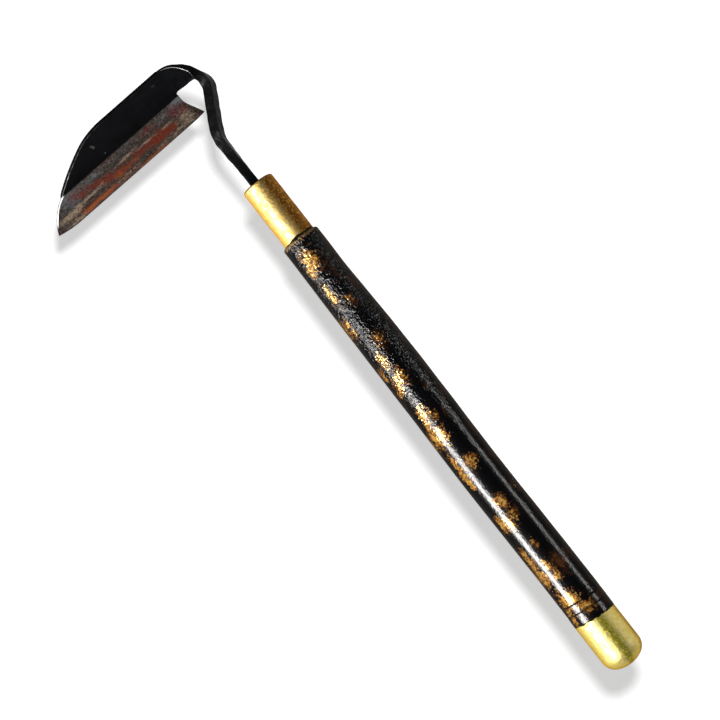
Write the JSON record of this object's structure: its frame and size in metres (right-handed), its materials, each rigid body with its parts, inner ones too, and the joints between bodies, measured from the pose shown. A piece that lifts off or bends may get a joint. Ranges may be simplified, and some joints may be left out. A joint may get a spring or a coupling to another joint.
{
  "type": "hand hoe",
  "caption": "Short-handled weeding hoe: a bent, bevelled blade drawn out of a twisting swan neck, set in a turned, lacquered wooden handle with a brass ferrule and butt cap.",
  "frame": {"origin": "on the handle's axis, half way along its parallel grip", "axes": "+X along the handle towards the blade, +Y towards the blade's toe, +Z out of the hollow side of the blade's bend"},
  "size_m": [0.455, 0.1344, 0.0425],
  "materials": {
    "forged_iron": "black forge scale, rust-streaked on the sole",
    "edge_steel": "ground bevel with a thin brown patina",
    "ferrule_brass": "satin",
    "lacquered_wood": "glossy dark lacquer, mottled with amber where it is thin",
    "cap_brass": "finely pitted"
  },
  "bodies": {
    "root": {"blade_forging": "forged_iron", "edge_steel": "edge_steel", "ferrule": "ferrule_brass", "handle": "lacquered_wood", "butt_cap": "cap_brass"}
  },
  "joints": []
}
